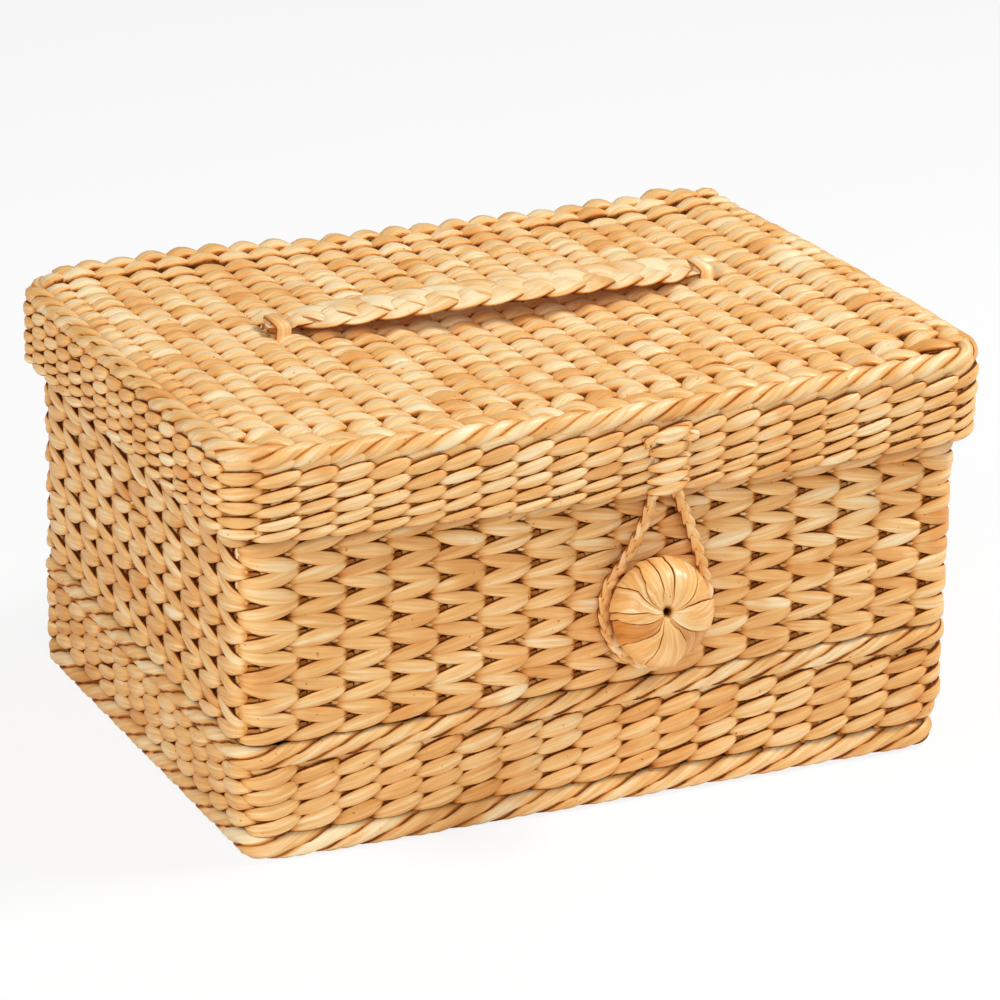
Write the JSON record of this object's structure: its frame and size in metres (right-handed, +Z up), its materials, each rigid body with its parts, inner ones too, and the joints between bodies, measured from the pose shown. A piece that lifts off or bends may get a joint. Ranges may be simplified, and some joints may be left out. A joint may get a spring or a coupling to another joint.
{
  "type": "woven lidded box",
  "caption": "Rectangular twined box with a hinged overlapping lid, a plaited handle strap and a cord loop that closes over a wrapped ball button.",
  "frame": {"origin": "middle of the flat underside that the box stands on", "axes": "+X along the long front, to the right seen from the front; +Y from the clasp at the front to the hinge at the back; +Z up"},
  "size_m": [0.3, 0.2574, 0.1668],
  "materials": {
    "wall_straw": "dry matte straw, golden brown",
    "lid_straw": "dry matte straw, pale honey",
    "rope_straw": "dry straw laid as rope, slight sheen",
    "strap_straw": "flat plaited straw, slight sheen",
    "cord_straw": "twisted straw cord, matte",
    "button_straw": "smooth wrapped straw, satin"
  },
  "bodies": {
    "box": {"floor_panel": "wall_straw", "foot_border": "rope_straw", "lower_band": "wall_straw", "belt_border": "rope_straw", "upper_band": "wall_straw", "rim_border": "rope_straw", "button": "button_straw", "button_cord": "cord_straw", "hinge_tie_left": "cord_straw", "hinge_tie_right": "cord_straw"},
    "lid": {"lid_panel": "lid_straw", "lid_border": "rope_straw", "lid_skirt": "lid_straw", "clasp_keeper": "lid_straw", "handle_strap": "strap_straw", "handle_tie_left": "cord_straw", "handle_tie_right": "cord_straw", "clasp_end_left": "cord_straw", "clasp_end_right": "cord_straw"},
    "loop": {"clasp_loop": "cord_straw"}
  },
  "joints": [
    {"name": "lid_hinge", "type": "hinge", "parent": "box", "child": "lid", "pos_m": [0, 0.1068, 0.1241], "axis": [-1, 0, 0], "range_deg": [0, 95], "deforming": ["clasp_loop"]},
    {"name": "loop_swing", "type": "hinge", "parent": "lid", "child": "loop", "pos_m": [0.016, -0.1115, 0.1241], "axis": [-1, 0, 0], "range_deg": [0, 100], "deforming": ["clasp_loop"]}
  ]
}
